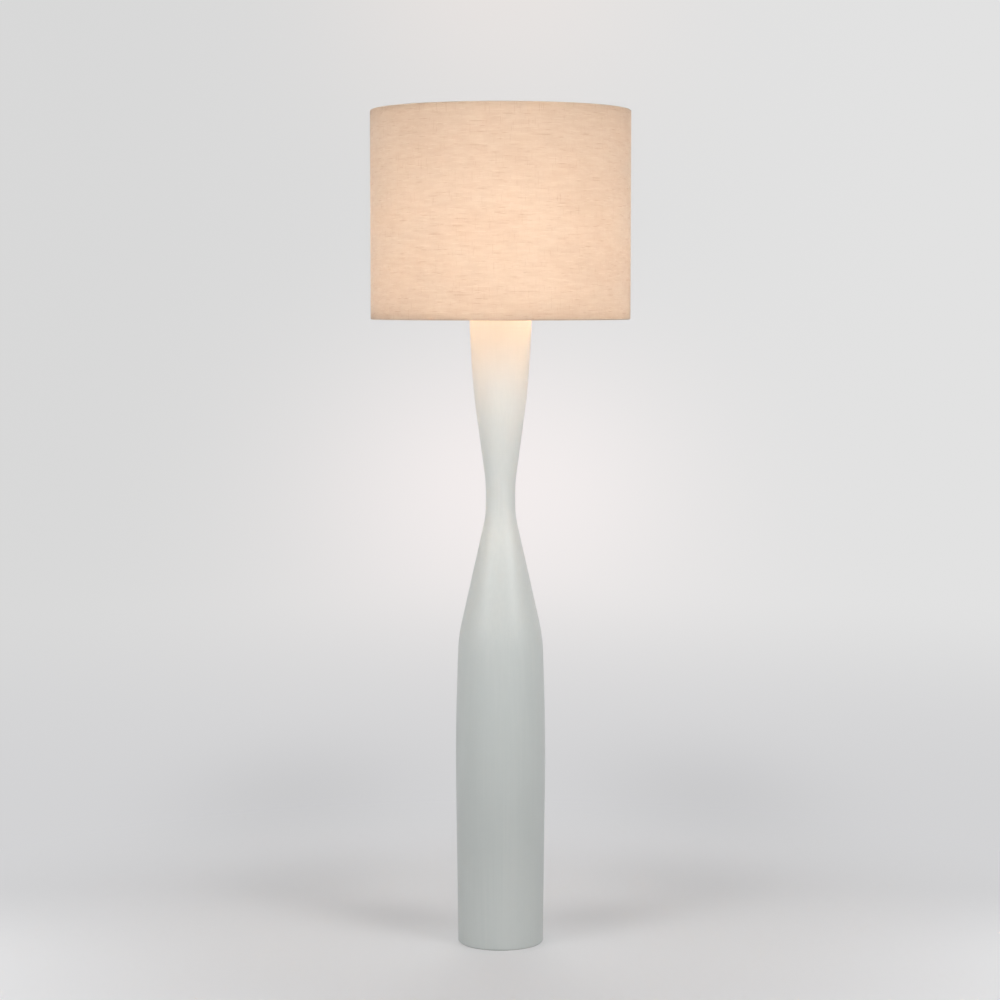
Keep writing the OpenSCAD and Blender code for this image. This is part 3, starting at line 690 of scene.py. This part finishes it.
dress(smooth(spider(), 40), "shade", "shade_spider", "frame")


def upper_wire():
    """The wire ring in the shade's upper edge."""
    s = Shape("upper_wire", Wire_ring=WIRE_RING, Wire=WIRE_R, Wire_level=TOP_WIRE_Z)
    hoop = s.hoop(s.size("Wire ring"), s.size("Wire level"), RING_STEPS)
    return s.made(s.swept(hoop, s.size("Wire")), FINISHES["frame"])


dress(smooth(upper_wire(), 40), "shade", "top_wire", "frame")


def ring_nut():
    """The threaded ring that holds the shade down, with finger flutes round its outside."""
    _, low, high = size_of("shade_ring")
    s = Shape("ring_nut", Outside=NUT_R, Bore=HOLDER_R + NUT_ROOM, Low=low, High=high,
              Flutes=FLUTES, Flute=FLUTE_R)
    plain = s.flat_hoop(s.size("Outside"), s.size("Bore"), s.size("Low"), s.size("High"),
                        edge=NUT_EDGE, steps=12 * FLUTES)
    spot = s.node("ShaderNodeSeparateXYZ", Vector=s.node("InputPosition").outputs[0])
    x, y, z = spot.outputs
    reach = s.math("SQRT", s.math("ADD", s.math("MULTIPLY", x, x), s.math("MULTIPLY", y, y)))
    # how far to the side of the nearest flute's middle a point is
    step = s.math("DIVIDE", FULL_TURN, s.size("Flutes"))
    turn = s.math("DIVIDE", s.math("ARCTAN2", y, x), step)
    off = s.math("SUBTRACT", turn, s.math("ROUND", turn))
    off = s.math("MULTIPLY", off, s.math("MULTIPLY", reach, step))
    # a flute is part of a round bore whose middle lies a little outside the ring
    chord = s.math("SUBTRACT", s.math("POWER", s.size("Flute"), 2.0), s.math("MULTIPLY", off, off))
    depth = s.math("SQRT", s.math("MAXIMUM", chord, 0.0))
    middle = s.math("MULTIPLY_ADD", s.size("Flute"), 0.4, s.size("Outside"))
    shrink = s.math("DIVIDE", s.math("MINIMUM", reach, s.math("SUBTRACT", middle, depth)), reach)
    moved = s.spot(s.math("MULTIPLY", x, shrink), s.math("MULTIPLY", y, shrink), z)
    fluted = s.node("SetPosition", Geometry=plain, Position=moved).outputs[0]
    return s.made(fluted, FINISHES["holder"])


dress(smooth(ring_nut(), 40), "collar", "shade_ring", "holder")


# ---------------------------------------------------------------- stage, light and camera

def paper():
    """Pale paper. Round the lamp it takes the studio's light and shadows, and further out it turns into
    a backdrop that glows evenly,
    apart from painted light: it is a little brighter to the right and along the front, with a painted
    glow behind the lamp and painted shadows to the back."""
    n = Nodes("pale paper")
    x, y, _ = n.node("SeparateXYZ", Vector=n.place()).outputs
    radius = n.math("SQRT", n.math("ADD", n.math("MULTIPLY", x, x), n.math("MULTIPLY", y, y)))
    # painted light: the wall is a little brighter to the right
    wall = n.blend(n.between(x, -2.5, 2.5), (0.69, 0.69, 0.69), (0.76, 0.76, 0.76))
    tone = n.blend(n.between(radius, 1.5, 6.0), (0.65, 0.65, 0.66), wall)
    # painted pools of light and shadow: middle, reach, colour and how it changes the tone; the first
    # two are a painted glow of the lamp's light on what is behind
    painted_pools = [((0, 8.0, 0.3), (0.95, 3.6, 0.75), (0.17, 0.125, 0.12), "ADD"),
             ((0, 9.0, 3.1), (0.9, 2.0, 0.9), (0.08, 0.045, 0.03), "ADD")]
    for side in (-1, 1):
        # painted shadows, standing in for the soft shadows that the two side lights throw, away to the
        # back
        painted_pools += [((side * 0.17, 0.20, 0), (0.15, 0.14, 1.0), (0.20, 0.20, 0.20), "SUBTRACT"),
                  ((side * 0.36, 0.52, 0), (0.20, 0.25, 1.0), (0.12, 0.12, 0.12), "SUBTRACT"),
                  ((side * 0.52, 1.40, 0), (0.30, 0.80, 1.0), (0.06, 0.06, 0.06), "SUBTRACT")]
    for centre, reach, colour, change in painted_pools:
        away = n.place()
        for operation, by in (("SUBTRACT", centre), ("DIVIDE", reach)):
            moved = n.node("VectorMath", {"operation": operation})
            n.put(moved.inputs[0], away)
            moved.inputs[1].default_value = by
            away = moved.outputs[0]
        length = n.node("VectorMath", {"operation": "LENGTH"})
        n.put(length.inputs[0], away)
        fall = n.math("MULTIPLY", n.math("POWER", length.outputs["Value"], 2.0), -1.0)
        tone = n.blend(n.math("EXPONENT", fall), tone, colour, change)
    # painted light: the floor is brighter along the front
    tone = n.blend(n.between(y, 0.5, -0.2, 0.0, 0.19), tone, (1.0, 1.0, 1.0), "ADD")
    near = n.node("BsdfDiffuse", Color=(0.86, 0.86, 0.865))
    far = n.node("Emission", Color=tone, Strength=1.0)
    return n.surface(n.mixed(n.between(radius, 0.3, 1.4, 0.3, 1.0), near, far))


def backdrop():
    """A floor, and a bowl that turns up into a wall and a dome. The bowl shows and is mirrored,
    but the studio's light passes through it."""
    floor_r = 3.0
    bend_r = 6.5                              # where the bowl begins to turn up
    bend = 2.5                                # the radius of that turn
    wall_r = bend_r + bend
    dome_z = 9.0                              # where the wall ends and the dome begins
    floor_line = [(0.001, 0), (0.5, 0), (1.5, 0), (floor_r, 0)]
    bowl_line = [(floor_r, 0), (bend_r, 0)]
    bowl_line += [(bend_r + bend * math.sin(t), bend - bend * math.cos(t))
                  for t in np.linspace(0, math.pi / 2, 16)[1:]]
    bowl_line += [(wall_r * math.cos(t), dome_z + wall_r * math.sin(t))
                  for t in np.linspace(0, 0.99 * math.pi / 2, 16)]
    steps = 96
    middle = [tuple(range(steps))]
    finish_ = paper()
    for name, line, cap in (("floor", floor_line, middle), ("bowl", bowl_line, [])):
        faces = grid_faces(len(line), steps, closed_columns=True) + cap
        piece = new_object(name, turned_line(line, steps), faces)
        piece.data.materials.append(finish_)
        smooth(piece, 60)
        if name == "bowl":
            piece.visible_diffuse = False
            piece.visible_transmission = False
            piece.visible_shadow = False


backdrop()
world = bpy.data.worlds.new("studio")
bpy.context.scene.world = world
world.use_nodes = True
world.node_tree.nodes["Background"].inputs["Color"].default_value = (0.97, 0.985, 1.0, 1)
world.node_tree.nodes["Background"].inputs["Strength"].default_value = 0.25


def set_light(light, place):
    """Puts a light in the scene. It doesn't show itself."""
    holder = bpy.data.objects.new(light.name, light)
    bpy.context.scene.collection.objects.link(holder)
    holder.location = place
    holder.visible_camera = False
    return holder


def softbox(name, place, target, width, height, power, beam=180):
    """A rectangular light that faces the target. The beam is in degrees."""
    light = bpy.data.lights.new(name, "AREA")
    light.shape = "RECTANGLE"
    light.size = width
    light.size_y = height
    light.energy = power
    light.spread = math.radians(beam)
    turn = (Vector(target) - Vector(place)).to_track_quat("-Z", "Y")
    set_light(light, place).rotation_euler = turn.to_euler()


def lamp_light(power, glow):
    """The bulb's light, a ball of light inside the globe, which lets it out. The light that
    falls out of the bright shade on the column is helped by a disc in its lower opening."""
    NODES["bulb_globe"].visible_shadow = False
    radius, _, high = size_of("bulb_globe")
    ball = bpy.data.lights.new("bulb light", "POINT")
    ball.energy = power
    ball.color = LAMP_LIGHT
    ball.shadow_soft_size = 0.5 * radius
    set_light(ball, (0, 0, high - 0.6 * radius))
    disc = bpy.data.lights.new("shade glow", "AREA")
    disc.energy = glow
    disc.color = (1.0, 0.52, 0.274)
    disc.shape = "DISK"
    disc.size = 2 * WIRE_RING
    set_light(disc, (0, 0, SHADE_LOW - 2 * MM))


lamp_light(power=8.8, glow=0.66)
softbox("front light", (0.0, -3.6, 3.4), (0, 0, 1.22), 3.0, 0.9, power=2.75, beam=24)
softbox("right light", (2.35, -2.0, 2.2), (0, 0, 1.2), 1.2, 1.2, power=5.15, beam=60)
softbox("left light", (-2.3, -2.0, 2.2), (0, 0, 1.2), 1.2, 1.2, power=4.6, beam=60)
softbox("low light", (0.0, -2.6, 0.35), (0, 0, 0.0), 1.6, 0.1, power=0.13, beam=10)
softbox("back light", (0.0, 3.6, 3.4), (0, 0, 1.0), 3.0, 1.2, power=50)
softbox("top light", (0.0, -0.4, 4.6), (0, 0, 0), 1.6, 1.6, power=14.0)

LOOKS_DOWN = 4.5                              # the camera's tilt, in degrees
camera = bpy.data.objects.new("camera", bpy.data.cameras.new("camera"))
bpy.context.scene.collection.objects.link(camera)
bpy.context.scene.camera = camera
camera.location = (-0.0011, -4.9, 1.245)
camera.rotation_euler = (math.radians(90 - LOOKS_DOWN), 0, 0)
camera.data.lens = 92.2
bpy.context.scene.view_settings.view_transform = "Standard"
bpy.context.scene.cycles.sample_clamp_indirect = 0
